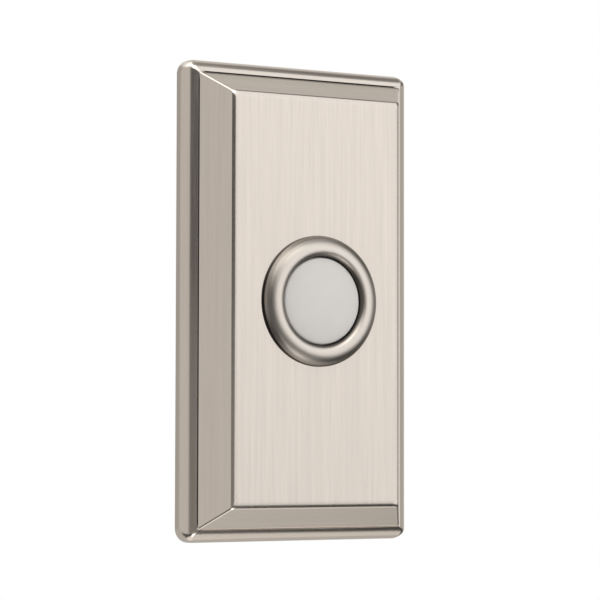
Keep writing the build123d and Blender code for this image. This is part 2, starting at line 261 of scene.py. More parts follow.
def object_noise(tree, scale, detail, roughness, place=(0.0, 0.0, 0.0)):
    """Noise on Object coordinates, with its own scale along each axis; gives its output socket."""
    coordinates = add_node(tree, "ShaderNodeTexCoord")
    mapping = add_node(tree, "ShaderNodeMapping", {"Scale": scale, "Location": place})
    noise = add_node(tree, "ShaderNodeTexNoise", {"Scale": 1.0, "Detail": detail, "Roughness": roughness})
    wire(tree, (coordinates, "Object", mapping, "Vector"), (mapping, "Vector", noise, "Vector"))
    return noise.outputs["Fac"]


def spread(tree, source, low, high):
    """The middle half of a noise's values mapped to a range from low to high."""
    node = add_node(tree, "ShaderNodeMapRange", {
        "From Min": 0.25, "From Max": 0.75, "To Min": low, "To Max": high})
    tree.links.new(source, node.inputs["Value"])
    return node.outputs["Result"]


def combine(tree, operation, first, second):
    """Two sockets, or a socket and a number, put together by a sum or a product."""
    node = add_node(tree, "ShaderNodeMath", operation=operation)
    tree.links.new(first, node.inputs[0])
    if isinstance(second, float):
        node.inputs[1].default_value = second
    else:
        tree.links.new(second, node.inputs[1])
    return node.outputs["Value"]


def scale_colour(tree, shader, base, factor):
    """The base colour times a factor from a socket."""
    scale = add_node(tree, "ShaderNodeVectorMath", {0: base}, operation="SCALE")
    tree.links.new(factor, scale.inputs["Scale"])
    wire(tree, (scale, "Vector", shader, "Base Color"))


def shade_colour(tree, shader, base, source, low, high):
    """The base colour made darker and lighter by a pattern."""
    scale_colour(tree, shader, base, spread(tree, source, low, high))


def add_bump(tree, shader, source, height):
    """Relief of a height in metres from a pattern."""
    bump = add_node(tree, "ShaderNodeBump", {"Strength": 1.0, "Distance": height})
    tree.links.new(source, bump.inputs["Height"])
    wire(tree, (bump, "Normal", shader, "Normal"))


def vary_roughness(tree, shader, source, roughness, swing):
    """Roughness that a pattern raises and lowers by a swing."""
    tree.links.new(spread(tree, source, roughness - swing, roughness + swing), shader.inputs["Roughness"])


# Brushed finishes: roughness, strokes a metre along X, Y and Z, their relief and how much they shade
BRUSHED = {
    "face_nickel": (0.38, (7000.0, 7000.0, 160.0), 0.5 * MICRON, 0.1),
    "side_nickel": (0.2, (5000.0, 5000.0, 110.0), 0.2 * MICRON, 0.06),
    "end_nickel": (0.2, (110.0, 5000.0, 5000.0), 0.2 * MICRON, 0.06),
    "edge_nickel": (0.19, (7000.0, 7000.0, 160.0), 0.2 * MICRON, 0.05),
}
# Grained finishes: colour, roughness, metallic, grains a metre, darkest and lightest shade, relief
GRAINED = {
    "cast_hollow": ("nickel", 0.5, 1.0, 2500.0, 0.8, 1.0, 6.0 * MICRON),
    # The crease row is painted shade: near-black colour in the crease groove
    "crease_line": ("shadow", 0.7, 0.0, 4000.0, 0.7, 1.4, 2.0 * MICRON),
    "spring_wire": ("steel", 0.3, 1.0, 4000.0, 0.9, 1.05, MICRON),
    "screw_brass": ("brass", 0.28, 1.0, 5000.0, 0.9, 1.05, MICRON),
    "zinc_plate": ("zinc", 0.34, 1.0, 900.0, 0.86, 1.06, 2.0 * MICRON),
    "strip_brass": ("brass", 0.3, 1.0, 3500.0, 0.88, 1.05, MICRON),
    "pressed_board": ("board", 0.62, 0.0, 2600.0, 0.6, 1.5, 8.0 * MICRON),
    "moulded_white": ("moulding", 0.45, 0.0, 3000.0, 0.96, 1.02, 3.0 * MICRON),
    "tinned_copper": ("tin", 0.3, 1.0, 5000.0, 0.9, 1.05, MICRON),
}


def brushed_nickel(finishes, name):
    """Satin nickel with fine strokes, by its row in the table."""
    roughness, scale, relief, streak = BRUSHED[name]
    base = tuple(finishes.nickel)
    broad_scale = tuple(0.3 * value for value in scale)
    broad_place = (3.0, 5.0, 7.0)
    material, tree, shader = new_material(name, base, roughness, metallic=1.0)
    strokes = object_noise(tree, scale, detail=3.0, roughness=0.6)
    broad = object_noise(tree, broad_scale, detail=2.0, roughness=0.5, place=broad_place)
    half = combine(tree, "MULTIPLY", combine(tree, "ADD", strokes, broad), 0.5)
    shade_colour(tree, shader, base, half, 1.0 - streak, 1.0 + streak)
    vary_roughness(tree, shader, strokes, roughness, swing=0.03)
    add_bump(tree, shader, strokes, relief)
    return material


def turned_nickel(name, base, roughness, painted_shades):
    """Satin nickel with fine rings left by turning.

    The last argument holds entries of a measure, "height" or "radius", a low and a high value and a
    shade: the metal is toned down to the shade at the low value and is plain above the high one.
    This toning is painted shade and painted darker reflections, by height or radius.
    """
    rings_a_metre = 6000.0
    ring_streak = 0.05
    ring_relief = 0.4 * MICRON
    material, tree, shader = new_material(name, base, roughness, metallic=1.0)
    coordinates = add_node(tree, "ShaderNodeTexCoord")
    parts = add_node(tree, "ShaderNodeSeparateXYZ")
    flat = add_node(tree, "ShaderNodeCombineXYZ")
    radius = add_node(tree, "ShaderNodeVectorMath", operation="LENGTH")
    across = add_node(tree, "ShaderNodeCombineXYZ")
    noise = add_node(tree, "ShaderNodeTexNoise", {"Scale": rings_a_metre, "Detail": 3.0, "Roughness": 0.6})
    wire(
        tree,
        (coordinates, "Object", parts, "Vector"), (parts, "X", flat, "X"), (parts, "Z", flat, "Y"),
        (flat, "Vector", radius, 0), (radius, "Value", across, "X"), (parts, "Y", across, "Y"),
        (across, "Vector", noise, "Vector"),
    )
    rings = noise.outputs["Fac"]
    factor = spread(tree, rings, 1.0 - ring_streak, 1.0 + ring_streak)
    measures = {
        "height": combine(tree, "MULTIPLY", parts.outputs["Y"], -1.0),
        "radius": radius.outputs["Value"],
    }
    for measure, low, high, shade in painted_shades:
        tone = add_node(tree, "ShaderNodeMapRange", {
            "From Min": low, "From Max": high, "To Min": shade, "To Max": 1.0,
        }, interpolation_type="SMOOTHSTEP")
        tree.links.new(measures[measure], tone.inputs["Value"])
        factor = combine(tree, "MULTIPLY", factor, tone.outputs["Result"])
    scale_colour(tree, shader, base, factor)
    vary_roughness(tree, shader, rings, roughness, swing=0.03)
    add_bump(tree, shader, rings, ring_relief)
    return material


def speckled(finishes, name):
    """A finish with an even grain, by its row in the table."""
    colour_name, roughness, metallic, grain, low, high, relief = GRAINED[name]
    base = tuple(getattr(finishes, colour_name))
    material, tree, shader = new_material(name, base, roughness, metallic)
    grains = object_noise(tree, (grain, grain, grain), detail=4.0, roughness=0.6)
    shade_colour(tree, shader, base, grains, low, high)
    vary_roughness(tree, shader, grains, roughness, swing=0.05)
    add_bump(tree, shader, grains, relief)
    return material


def frosted_plastic(name, base):
    """Milky plastic that light enters, with a fine matte skin."""
    skin_relief = 1.2 * MICRON
    material, tree, shader = new_material(name, base, roughness=0.42)
    set_inputs(shader, {
        "Subsurface Weight": 0.6, "Subsurface Radius": (1.0, 0.95, 0.9), "Subsurface Scale": 1.2 * MM,
        "Specular IOR Level": 0.35,
    })
    cloud = object_noise(tree, (320.0, 320.0, 320.0), detail=2.0, roughness=0.5)
    shade_colour(tree, shader, base, cloud, low=0.985, high=1.015)
    skin = object_noise(tree, (9000.0, 9000.0, 9000.0), detail=2.0, roughness=0.5)
    add_bump(tree, shader, skin, skin_relief)
    return material


def clear_resin(name, base):
    """Clear resin of the lamp, with faint cloudiness."""
    material, tree, shader = new_material(name, base, roughness=0.08)
    set_inputs(shader, {"Transmission Weight": 0.85, "IOR": 1.52})
    cloud = object_noise(tree, (900.0, 900.0, 900.0), detail=2.0, roughness=0.5)
    vary_roughness(tree, shader, cloud, roughness=0.095, swing=0.045)
    return material


# Mesh helpers
def add_object(name, data):
    """A new object in the scene."""
    item = bpy.data.objects.new(name, data)
    bpy.context.scene.collection.objects.link(item)
    return item


def new_piece(name, mesh, body, slot, *nodes):
    """A finished mesh as a piece that rides on a body and stands for CAD nodes."""
    piece = add_object(name, mesh)
    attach(piece, body)
    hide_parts(*nodes)
    return piece


def smooth_faces(mesh, sharp_angle):
    """Smooth shading with the edges sharper than an angle kept sharp."""
    mesh.shade_smooth()
    mesh.set_sharp_from_angle(angle=math.radians(sharp_angle))


def plate_loop(bm, sizes, inset, radius, height, corner_steps, support, corner_rise=0.0):
    """Vertices of a rounded rectangle, inset from the plate's edge, anticlockwise from the front.

    A supporting vertex beside each end of a corner's arc keeps the straight sides flat in shading.
    corner_rise lifts the corners' arcs above the straight sides.
    """
    half_x = sizes.width / 2 - inset
    half_z = sizes.height / 2 - inset
    loop = []
    lift = Vector((0.0, -corner_rise, 0.0))
    for quarter, (side_x, side_z) in enumerate(((1, 1), (-1, 1), (-1, -1), (1, -1))):
        start = quarter * math.pi / 2
        centre = Vector((side_x * (half_x - radius), -height, side_z * (half_z - radius)))
        before = Vector((-math.sin(start), 0.0, math.cos(start)))
        after = Vector((-math.cos(start), 0.0, -math.sin(start)))
        arc = []
        for step in range(corner_steps + 1):
            angle = start + step / corner_steps * math.pi / 2
            arc.append(centre + radius * Vector((math.cos(angle), 0.0, math.sin(angle))))
        points = [arc[0] - support * before, *(point + lift for point in arc), arc[-1] + support * after]
        loop.extend(bm.verts.new(point) for point in points)
    return loop


def join_loops(bm, lower, upper):
    """Quads between two loops of equal length; gives the faces in order round the loop."""
    count = len(lower)
    faces = []
    for index in range(count):
        following = (index + 1) % count
        faces.append(bm.faces.new((lower[index], lower[following], upper[following], upper[index])))
    return faces


def circle_loop(bm, radius, height, steps):
    """Vertices of a circle about the button's axis, at a height off the wall."""
    loop = []
    for step in range(steps):
        angle = step / steps * 2 * math.pi
        loop.append(bm.verts.new((radius * math.cos(angle), -height, radius * math.sin(angle))))
    return loop


def fill_between(bm, outer, inner):
    """Flat faces between an outer loop and a hole in it."""
    edges = []
    for loop in (outer, inner):
        for index, vertex in enumerate(loop):
            pair = (vertex, loop[(index + 1) % len(loop)])
            edges.append(bm.edges.get(pair) or bm.edges.new(pair))
    filled = bmesh.ops.triangle_fill(bm, use_beauty=True, edges=edges)
    return [item for item in filled["geom"] if isinstance(item, bmesh.types.BMFace)]


def finished_mesh(bm, name):
    """A closed mesh with its doubles merged and its faces turned outwards."""
    bmesh.ops.remove_doubles(bm, verts=bm.verts, dist=WELD)
    bmesh.ops.recalc_face_normals(bm, faces=bm.faces)
    mesh = bpy.data.meshes.new(name)
    bm.to_mesh(mesh)
    bm.free()
    return mesh


def polyline_mesh(name, points):
    """Edges along radius and height pairs, as the profile of a turned piece."""
    mesh = bpy.data.meshes.new(name)
    vertices = [(radius, -height, 0.0) for radius, height in points]
    edges = [(index, index + 1) for index in range(len(points) - 1)]
    mesh.from_pydata(vertices, edges, [])
    return mesh


def arc_points(centre_radius, centre_height, radius, start, end, steps, rise=None):
    """Radius and height pairs along an arc, with angles in degrees; rise makes it an ellipse's arc."""
    rise = radius if rise is None else rise
    points = []
    for step in range(steps + 1):
        angle = math.radians(start + (end - start) * step / steps)
        points.append((centre_radius + radius * math.cos(angle), centre_height + rise * math.sin(angle)))
    return points


# Geometry Nodes trees
def new_tree(name, numbers):
    """A tree with a geometry input and output, number inputs with defaults, and a material input."""
    tree = bpy.data.node_groups.new(name, "GeometryNodeTree")
    tree.interface.new_socket("Geometry", in_out="INPUT", socket_type="NodeSocketGeometry")
    for label, (kind, default) in numbers.items():
        socket = tree.interface.new_socket(label, in_out="INPUT", socket_type=kind)
        socket.default_value = default
    tree.interface.new_socket("Material", in_out="INPUT", socket_type="NodeSocketMaterial")
    tree.interface.new_socket("Geometry", in_out="OUTPUT", socket_type="NodeSocketGeometry")
    return tree, tree.nodes.new("NodeGroupInput"), tree.nodes.new("NodeGroupOutput")


def finish_tree(tree, given, output, last, smooth_edges_under):
    """Realizes what the last node gives, then smooth shading up to an angle, then the material."""
    limit = {"B": math.radians(smooth_edges_under)}
    angle = add_node(tree, "GeometryNodeInputMeshEdgeAngle")
    sharp = add_node(tree, "FunctionNodeCompare", limit, data_type="FLOAT", operation="GREATER_THAN")
    faces = add_node(tree, "GeometryNodeSetShadeSmooth", {"Shade Smooth": True}, domain="FACE")
    edges = add_node(tree, "GeometryNodeSetShadeSmooth", {"Shade Smooth": False}, domain="EDGE")
    paint = add_node(tree, "GeometryNodeSetMaterial")
    realize = add_node(tree, "GeometryNodeRealizeInstances")
    wire(
        tree,
        (last, 0, realize, "Geometry"), (realize, "Geometry", faces, "Geometry"),
        (faces, "Geometry", edges, "Geometry"), (angle, "Unsigned Angle", sharp, "A"),
        (sharp, "Result", edges, "Selection"), (edges, "Geometry", paint, "Geometry"),
        (given, "Material", paint, "Material"), (paint, "Geometry", output, "Geometry"),
    )


def turning_tree():
    """Sweeps a profile, drawn as radius along X and place along Y, once round the Y axis."""
    tree, given, output = new_tree("turned_piece", {
        "Segments": ("NodeSocketInt", 128),
        "Path Radius": ("NodeSocketFloat", MM),
    })
    away = add_node(tree, "ShaderNodeMath", {1: -1.0}, operation="MULTIPLY")
    offset = add_node(tree, "ShaderNodeCombineXYZ")
    moved = add_node(tree, "GeometryNodeTransform")
    profile = add_node(tree, "GeometryNodeMeshToCurve")
    circle = add_node(tree, "GeometryNodeCurvePrimitiveCircle", mode="RADIUS")
    sweep = add_node(tree, "GeometryNodeCurveToMesh")
    upright = add_node(tree, "GeometryNodeTransform", {"Rotation": (math.pi / 2, 0.0, 0.0)})
    weld = add_node(tree, "GeometryNodeMergeByDistance", {"Distance": WELD})
    wire(
        tree,
        (given, "Path Radius", away, 0), (away, "Value", offset, "X"),
        (offset, "Vector", moved, "Translation"), (given, "Geometry", moved, "Geometry"),
        (moved, "Geometry", profile, "Mesh"), (given, "Segments", circle, "Resolution"),
        (given, "Path Radius", circle, "Radius"), (circle, "Curve", sweep, "Curve"),
        (profile, "Curve", sweep, "Profile Curve"), (sweep, "Mesh", upright, "Geometry"),
        (upright, "Geometry", weld, "Geometry"),
    )
    finish_tree(tree, given, output, weld, smooth_edges_under=24.0)
    return tree


def coil_tree():
    """Winds a wire round the Y axis, from a start towards the front."""
    tree, given, output = new_tree("wound_coil", {
        "Turns": ("NodeSocketFloat", 5.0),
        "Radius": ("NodeSocketFloat", MM),
        "Length": ("NodeSocketFloat", MM),
        "Start": ("NodeSocketFloat", 0.0),
        "Wire Radius": ("NodeSocketFloat", MM),
        "Wire Sides": ("NodeSocketInt", 12),
    })
    spiral = add_node(tree, "GeometryNodeCurveSpiral", {"Resolution": 48})
    upright = add_node(tree, "GeometryNodeSetCurveNormal", mode="Z_UP")
    strand = add_node(tree, "GeometryNodeCurvePrimitiveCircle", mode="RADIUS")
    sweep = add_node(tree, "GeometryNodeCurveToMesh", {"Fill Caps": True})
    place = add_node(tree, "ShaderNodeCombineXYZ")
    turned = add_node(tree, "GeometryNodeTransform", {"Rotation": (math.pi / 2, 0.0, 0.0)})
    wire(
        tree,
        (given, "Turns", spiral, "Rotations"), (given, "Radius", spiral, "Start Radius"),
        (given, "Radius", spiral, "End Radius"), (given, "Length", spiral, "Height"),
        (spiral, "Curve", upright, "Curve"), (upright, "Curve", sweep, "Curve"),
        (given, "Wire Sides", strand, "Resolution"), (given, "Wire Radius", strand, "Radius"),
        (strand, "Curve", sweep, "Profile Curve"), (given, "Start", place, "Y"),
        (sweep, "Mesh", turned, "Geometry"), (place, "Vector", turned, "Translation"),
    )
    finish_tree(tree, given, output, turned, smooth_edges_under=40.0)
    return tree


def pair_tree():
    """Sets the object's own mesh down twice, side by side along X."""
    tree, given, output = new_tree("side_by_side", {"Spacing": ("NodeSocketFloat", MM)})
    step = add_node(tree, "ShaderNodeCombineXYZ")
    back = add_node(tree, "ShaderNodeMath", {1: -0.5}, operation="MULTIPLY")
    first = add_node(tree, "ShaderNodeCombineXYZ")
    line = add_node(tree, "GeometryNodeMeshLine", {"Count": 2}, mode="OFFSET")
    copies = add_node(tree, "GeometryNodeInstanceOnPoints")
    wire(
        tree,
        (given, "Spacing", step, "X"), (given, "Spacing", back, 0), (back, "Value", first, "X"),
        (first, "Vector", line, "Start Location"), (step, "Vector", line, "Offset"),
        (line, "Mesh", copies, "Points"), (given, "Geometry", copies, "Instance"),
    )
    finish_tree(tree, given, output, copies, smooth_edges_under=30.0)
    return tree


def mesh_from_tree(name, base_mesh, tree, values, material):
    """The plain mesh that a tree makes of a base mesh, with its faces turned outwards."""
    maker = add_object(name + "_maker", base_mesh)
    modifier = maker.modifiers.new(name, "NODES")
    modifier.node_group = tree
    for item in tree.interface.items_tree:
        if item.in_out == "INPUT" and item.name in values:
            modifier[item.identifier] = values[item.name]
        if item.in_out == "INPUT" and item.name == "Material":
            modifier[item.identifier] = material
    evaluated = maker.evaluated_get(bpy.context.evaluated_depsgraph_get())
    mesh = bpy.data.meshes.new_from_object(evaluated)
    mesh.name = name
    bpy.data.objects.remove(maker)
    bm = bmesh.new()
    bm.from_mesh(mesh)
    bmesh.ops.recalc_face_normals(bm, faces=bm.faces)
    bm.to_mesh(mesh)
    bm.free()
    if not mesh.polygons:
        raise RuntimeError(f"the tree for {name} made no faces")
    return mesh


# Cover plate
def crease_height(sizes):
    """Height at which the bead and the bevel meet."""
    bead_end = math.acos(1.0 - sizes.crease_inset / sizes.bead_radius)
    return sizes.side_wall + sizes.bead_radius * math.sin(bead_end)


def hollow_slope(sizes):
    """How far the hollow's walls lean in for each metre of height, along with the bevels."""
    return sizes.bevel_run / (sizes.depth - crease_height(sizes))


def edge_curve(tilt, reach, ease, steps):
    """Run and rise pairs along a rounding that starts at a tilt and runs out into the flat face."""
    points = [(0.0, 0.0)]
    for step in range(steps):
        angle = tilt * (1.0 - (step + 0.5) / steps) ** ease
        run, rise = points[-1]
        points.append((run + reach / steps * math.cos(angle), rise + reach / steps * math.sin(angle)))
    return points


def plate_levels(sizes):
    """Loops of the plate's outside, from the wall to the face.

    Each is an inset, a height, a corner radius and the finish of the strip below it.
    """
    bead_steps = 28
    edge_steps = 30
    flat_support = 0.04 * MM
    floor_share = 0.72
    satin_share = 0.5
    lip = sizes.crease_inset - sizes.crease_width
    bead_end = math.acos(1.0 - lip / sizes.bead_radius)
    levels = [(0.0, 0.0, sizes.corner_radius, "strip")]
    levels.append((0.0, sizes.side_wall - flat_support, sizes.corner_radius, "strip"))
    for step in range(bead_steps + 1):
        angle = bead_end * step / bead_steps
        inset = sizes.bead_radius * (1.0 - math.cos(angle))
        outer_share = (1.0 - inset / sizes.crease_inset) ** sizes.mitre_ease
        radius = sizes.foot_ridge + (sizes.corner_radius - sizes.foot_ridge) * outer_share
        levels.append((inset, sizes.side_wall + sizes.bead_radius * math.sin(angle), radius, "strip"))
    crease = crease_height(sizes)
    floor_inset = lip + sizes.crease_width * floor_share
    levels.append((floor_inset, crease - sizes.crease_depth, sizes.foot_ridge, "floor"))
    rise = sizes.depth - crease
    tilt = math.atan2(rise, sizes.bevel_run)
    curve = edge_curve(tilt, sizes.face_edge, sizes.edge_ease, edge_steps)
    bevel_length = math.hypot(rise, sizes.bevel_run)
    bevel_end = bevel_length - curve[-1][1] / math.sin(tilt)
    stations = ((0.0, "crease"), (flat_support, "strip"), (bevel_end - flat_support, "strip"))
    for along, finish in stations:
        share = along / bevel_length
        radius = sizes.foot_ridge + (sizes.face_ridge - sizes.foot_ridge) * share
        levels.append((sizes.crease_inset + sizes.bevel_run * share, crease + rise * share, radius, finish))
    edge_inset = sizes.crease_inset + sizes.bevel_run * bevel_end / bevel_length
    edge_height = sizes.depth - curve[-1][1]
    for step, (run, climb) in enumerate(curve):
        share = step / edge_steps
        radius = sizes.face_ridge + (sizes.face_corner - sizes.face_ridge) * math.sqrt(share)
        finish = "strip" if step == 0 else "edge" if share < satin_share else "face"
        levels.append((edge_inset + run, edge_height + climb, radius, finish))
    face_inset = edge_inset + curve[-1][0] + flat_support
    levels.append((face_inset, sizes.depth, sizes.face_corner, "face"))
    return levels


def lug_prism(bm, sizes, side):
    """A snap lug inside the hollow, at the top or the bottom; gives its faces."""
    half_width = 5.0 * MM
    back, front = 1.4 * MM, 2.5 * MM
    reach, lead, root = 1.05 * MM, 0.5 * MM, 0.5 * MM
    slope = hollow_slope(sizes)
    wall_back = sizes.height / 2 - sizes.rim_width - back * slope
    wall_front = sizes.height / 2 - sizes.rim_width - front * slope
    tip = wall_front - reach
    outline = [(back, tip + lead), (front, tip), (front, wall_front + root), (back, wall_back + root)]
    ends = []
    for x in (-half_width, half_width):
        ends.append([bm.verts.new((x, -height, side * z)) for height, z in outline])
    return [*join_loops(bm, ends[0], ends[1]), bm.faces.new(ends[0]), bm.faces.new(ends[1])]


# Material numbers on the plate; the crease number carries painted shade
FACE, SIDES, ENDS, HOLLOW, CREASE_PAINTED_SHADE, EDGE = range(6)


def cover_plate_mesh(sizes):
    """The bevelled plate as one closed mesh, with a material number on each face."""
    corner_steps = 14
    hole_steps = 128
    support = 0.05 * MM
    sharp_angle = 20.0
    bm = bmesh.new()
    levels = plate_levels(sizes)
    loops = []
    for inset, height, radius, finish in levels:
        rise, reach = (sizes.crease_depth, sizes.crease_fade) if finish == "floor" else (0.0, support)
        loops.append(plate_loop(bm, sizes, inset, radius, height, corner_steps, reach, rise))
        # Both ends of the right side rise with the corners, which closes the groove there
        for right_end in (loops[-1][0], loops[-1][-1]):
            right_end.co.y -= rise
    points_a_corner = corner_steps + 3
    # The groove is painted dark as shade along the top and the left, the sides that follow the first two
    # corners
    painted_shade_sides = (0, 1)
    for lower, upper, (_, _, _, finish) in zip(loops, loops[1:], levels[1:]):
        for index, face in enumerate(join_loops(bm, lower, upper)):
            corner, step = divmod(index, points_a_corner)
            first_half = step < points_a_corner // 2
            on_side = first_half if corner in (0, 2) else not first_half
            strip = SIDES if on_side else ENDS
            straight = step == points_a_corner - 1
            crease = CREASE_PAINTED_SHADE if straight and corner in painted_shade_sides else strip
            numbers = {"face": FACE, "strip": strip, "floor": crease, "crease": crease, "edge": EDGE}
            face.material_index = numbers[finish]
    front_hole = circle_loop(bm, sizes.hole_radius, sizes.depth, hole_steps)
    for face in fill_between(bm, loops[-1], front_hole):
        face.material_index = FACE
    ceiling = sizes.depth - sizes.front_wall
    ceiling_inset = sizes.rim_width + ceiling * hollow_slope(sizes)
    hollow = []
    for inset, height in ((sizes.rim_width, 0.0), (ceiling_inset, ceiling)):
        hollow.append(plate_loop(bm, sizes, inset, sizes.cavity_corner, height, corner_steps, support))
    back_hole = circle_loop(bm, sizes.hole_radius, ceiling, hole_steps)
    inside = join_loops(bm, loops[0], hollow[0])
    inside += join_loops(bm, hollow[0], hollow[1])
    inside += fill_between(bm, hollow[1], back_hole)
    inside += join_loops(bm, back_hole, front_hole)
    for side in (-1, 1):
        inside += lug_prism(bm, sizes, side)
    for face in inside:
        face.material_index = HOLLOW
    mesh = finished_mesh(bm, "cover_plate_skin")
    smooth_faces(mesh, sharp_angle)
    return mesh


class DOORBELL_OT_cover_plate(bpy.types.Operator):
    """Build the bevelled cover plate in satin nickel"""

    bl_idname = "doorbell.cover_plate"
    bl_label = "Cover plate"

    def execute(self, context):
        finishes = context.scene.doorbell_finishes
        mesh = cover_plate_mesh(context.scene.doorbell_plate)
        # In the order of the material numbers; the crease material is painted shade
        for material in (
            brushed_nickel(finishes, "face_nickel"), brushed_nickel(finishes, "side_nickel"),
            brushed_nickel(finishes, "end_nickel"), speckled(finishes, "cast_hollow"),
            speckled(finishes, "crease_line"), brushed_nickel(finishes, "edge_nickel"),
        ):
            mesh.materials.append(material)
        new_piece("plate_shell", mesh, "plate", "satin_nickel", "cover_plate")
        return {"FINISHED"}


def bezel_profile(sizes, face_height):
    """Radius and height pairs round the bezel's section, closed on itself."""
    wall_top = face_height + sizes.wall
    inner = sizes.crest - sizes.bore
    outer = sizes.radius - sizes.crest
    lip = face_height - sizes.lip
    groove = sizes.barrel - sizes.thread_depth
    base_back = bezel_high.y - sizes.crimp_depth
    points = [(groove, sizes.thread_end), (groove, face_height), (sizes.foot, face_height)]
    points += [(sizes.radius, face_height + sizes.foot_height)]
    outer_rise = sizes.top - wall_top
    points += arc_points(sizes.crest, wall_top, outer, 0.0, 90.0, steps=40, rise=outer_rise)
    inner_centre = sizes.top - sizes.inner_rise
    inner_arc = arc_points(sizes.crest, inner_centre, inner, 90.0, 180.0, steps=28, rise=sizes.inner_rise)
    points += inner_arc[1:]
    points += [(sizes.bore, lip), (sizes.barrel_bore, lip), (sizes.barrel_bore, -sizes.base_front)]
    points += [(sizes.tail_bore, -sizes.base_front), (sizes.tail_bore, -base_back)]
    points += [(sizes.crimp, -base_back), (sizes.crimp, -bezel_high.y)]
    round_at = (sizes.tail - sizes.crimp_round, -bezel_high.y + sizes.crimp_round)
    points += arc_points(*round_at, sizes.crimp_round, -90.0, 0.0, steps=8)
    points += [(sizes.tail, sizes.thread_end), points[0]]
    return points


class DOORBELL_OT_bezel(bpy.types.Operator):
    """Turn the bezel ring with its barrel, and wind the thread on it"""

    bl_idname = "doorbell.bezel"
    bl_label = "Bezel and barrel"

    def execute(self, context):
        sizes = context.scene.doorbell_bezel
        face_height = context.scene.doorbell_plate.depth
        nickel = tuple(context.scene.doorbell_finishes.bezel)
        # Painted shade on the ring: the flank below the crest is darkened to dim its reflections, a
        # near-black painted shadow runs round the foot, and the bore is darkened as shade
        crest_painted_shade = ("height", 9.66 * MM, 9.96 * MM, 0.42)
        foot_painted_shadow = ("height", 8.84 * MM, 9.06 * MM, 0.08)
        bore_painted_shade = ("radius", 6.47 * MM, 7.05 * MM, 0.32)
        painted_shades = (crest_painted_shade, foot_painted_shadow, bore_painted_shade)
        painted_shade_nickel = turned_nickel("bezel_nickel", nickel, roughness=0.34, painted_shades=painted_shades)
        plain = turned_nickel("barrel_nickel", nickel, roughness=0.3, painted_shades=())
        profile = polyline_mesh("bezel_profile", bezel_profile(sizes, face_height))
        turned = mesh_from_tree("bezel_turned", profile, turning_tree(), {
            "Segments": 192,
            "Path Radius": sizes.crest,
        }, painted_shade_nickel)
        turned.materials.append(plain)
        for face in turned.polygons:
            if -face.center.y < face_height - WELD:
                face.material_index = 1
        ring = new_piece("bezel_ring", turned, "plate", "bezel_nickel", "bezel_barrel")
        ring.visible_glossy = False
        wound = mesh_from_tree("thread_wound", bpy.data.meshes.new("thread_base"), coil_tree(), {
            "Turns": sizes.thread_length / sizes.thread_pitch,
            "Radius": sizes.barrel - sizes.thread_depth,
            "Length": sizes.thread_length,
            "Start": -sizes.thread_end - sizes.thread_depth,
            "Wire Radius": sizes.thread_depth,
            "Wire Sides": 4,
        }, plain)
        new_piece("barrel_thread", wound, "plate", "bezel_nickel")
        return {"FINISHED"}


def button_profile(sizes):
    """Radius and height pairs of the cap's section, from the dome's middle round to the hollow's roof."""
    dome_steps = 40
    drop = sizes.top - sizes.edge
    slope = math.atan2(sizes.fullness * drop, sizes.radius - sizes.edge_round)
    dome_end = sizes.radius - sizes.edge_round * (1.0 - math.sin(slope))
    points = []
    for step in range(dome_steps + 1):
        share = step / dome_steps
        points.append((dome_end * share, sizes.top - drop * share**sizes.fullness))
    round_radius = dome_end - sizes.edge_round * math.sin(slope)
    round_height = sizes.edge - sizes.edge_round * math.cos(slope)
    round_start = 90.0 - math.degrees(slope)
    round_arc = arc_points(round_radius, round_height, sizes.edge_round, round_start, 0.0, steps=10)
    points += round_arc[1:]
    points += [(sizes.radius, sizes.flange_top), (sizes.flange, sizes.flange_top)]
    points += [(sizes.flange, sizes.back), (sizes.hollow, sizes.back)]
    points += [(sizes.hollow, sizes.hollow_top), (0.0, sizes.hollow_top)]
    return points


class DOORBELL_OT_button(bpy.types.Operator):
    """Turn the frosted button cap"""

    bl_idname = "doorbell.button"
    bl_label = "Push button"

    def execute(self, context):
        plastic = frosted_plastic("frosted_button", tuple(context.scene.doorbell_finishes.button))
        profile = polyline_mesh("button_profile", button_profile(context.scene.doorbell_button))
        turned = mesh_from_tree("button_turned", profile, turning_tree(), {
            "Segments": 160,
            "Path Radius": MM,
        }, plastic)
        new_piece("button_cap", turned, "button", "frosted_white", "push_button")
        return {"FINISHED"}


class DOORBELL_OT_spring(bpy.types.Operator):
    """Wind the return spring at its free length, as it stands when the button is not pressed"""

    bl_idname = "doorbell.spring"
    bl_label = "Return spring"

    def execute(self, context):
        sizes = context.scene.doorbell_spring
        steel = speckled(context.scene.doorbell_finishes, "spring_wire")
        free_length = spring_high.y - spring_low.y
        wound = mesh_from_tree("spring_wound", bpy.data.meshes.new("spring_base"), coil_tree(), {
            "Turns": sizes.turns,
            "Radius": sizes.radius,
            "Length": free_length - sizes.wire,
            "Start": spring_high.y - sizes.wire / 2,
            "Wire Radius": sizes.wire / 2,
            "Wire Sides": 16,
        }, steel)
        spring = new_piece("spring_coil", wound, "plate", "spring_steel", "return_spring")
        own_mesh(spring)
        return {"FINISHED"}


def cut(bm, point, normal):
    """New edges where a plane crosses the mesh."""
    geometry = [*bm.verts, *bm.edges, *bm.faces]
    bmesh.ops.bisect_plane(bm, geom=geometry, dist=WELD, plane_co=point, plane_no=normal)


